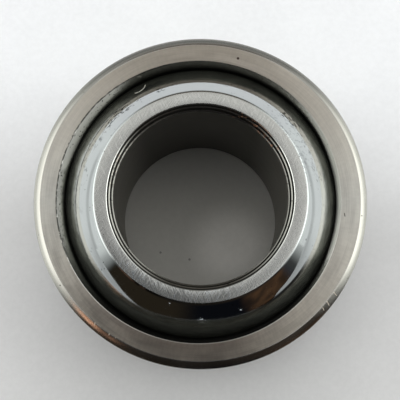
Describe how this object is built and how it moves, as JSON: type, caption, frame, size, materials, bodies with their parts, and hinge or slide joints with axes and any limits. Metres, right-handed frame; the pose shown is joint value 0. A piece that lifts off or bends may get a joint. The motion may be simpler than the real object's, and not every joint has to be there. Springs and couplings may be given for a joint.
{
  "type": "spherical plain bearing",
  "caption": "Radial spherical plain bearing: a ball-shaped inner ring with a chamfered bore, tilting in a one-piece outer ring that is swaged round it.",
  "frame": {"origin": "centre of the ball, which is the centre of both rings", "axes": "+Z along the bore, towards the side that the picture shows; +Y is up in the picture; the inner ring tilts about Y"},
  "size_m": [0.035, 0.035, 0.023],
  "materials": {
    "ground_steel": "fine turned and ground bare steel",
    "polished_steel": "polished ball with ground end faces"
  },
  "bodies": {
    "outer_ring": {"outer_ring": "ground_steel"},
    "inner_ring": {"inner_ring": "polished_steel"}
  },
  "joints": [
    {"name": "inner_ring_tilt", "type": "hinge", "parent": "outer_ring", "child": "inner_ring", "pos_m": [0, 0, 0], "axis": [0, 1, 0], "range_deg": [-15, 15]}
  ]
}
